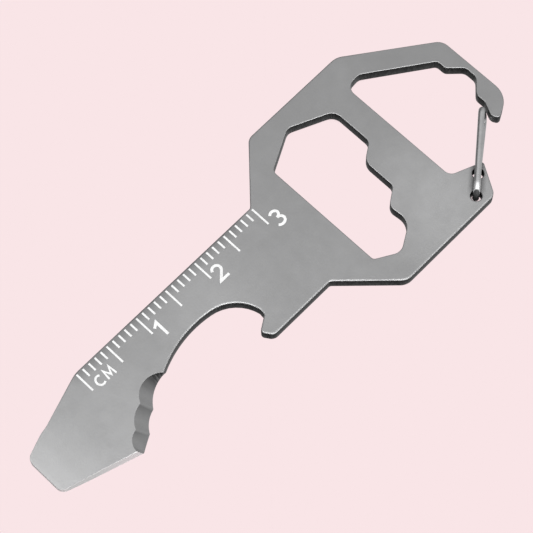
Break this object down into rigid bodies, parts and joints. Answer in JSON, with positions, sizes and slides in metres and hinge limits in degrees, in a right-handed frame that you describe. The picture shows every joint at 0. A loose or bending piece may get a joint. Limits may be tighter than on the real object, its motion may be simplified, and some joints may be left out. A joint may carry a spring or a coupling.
{
  "type": "pocket multi-tool",
  "caption": "Flat steel pocket multi-tool: scraper tip, serrated scallop, bottle opener, ruled neck, stepped hexagon wrench opening and a clip loop closed by a sprung wire gate.",
  "frame": {"origin": "middle of the tool's length and width, at the lowest point of the gate wire under the rear face", "axes": "+X from the tip towards the clip end, +Y across the tool towards the ruled edge, +Z out of the ruled face"},
  "size_m": [0.0748, 0.0273, 0.0039],
  "materials": {
    "satin_steel": "tumbled satin",
    "bright_spring_steel": "bright drawn"
  },
  "bodies": {
    "plate": {"tool_plate": "satin_steel"},
    "gate_front": {"gate_wire_front": "bright_spring_steel"},
    "gate_rear": {"gate_wire_rear": "bright_spring_steel"}
  },
  "joints": [
    {"name": "gate_hinge", "type": "hinge", "parent": "plate", "child": "gate_front", "pos_m": [0.0244, -0.0121, 0.00195], "axis": [0, 0, 1], "range_deg": [0, 24], "stiffness_Nm_per_rad": 0.02, "springref_deg": -5.73},
    {"name": "gate_twist", "type": "hinge", "parent": "gate_front", "child": "gate_rear", "pos_m": [0.03355, -0.0047, 0.00195], "axis": [0, 0, 1], "range_deg": [0, 8]}
  ],
  "couplings": [
    {"joint": "gate_twist", "follows": "gate_hinge", "ratio": 0.325}
  ]
}
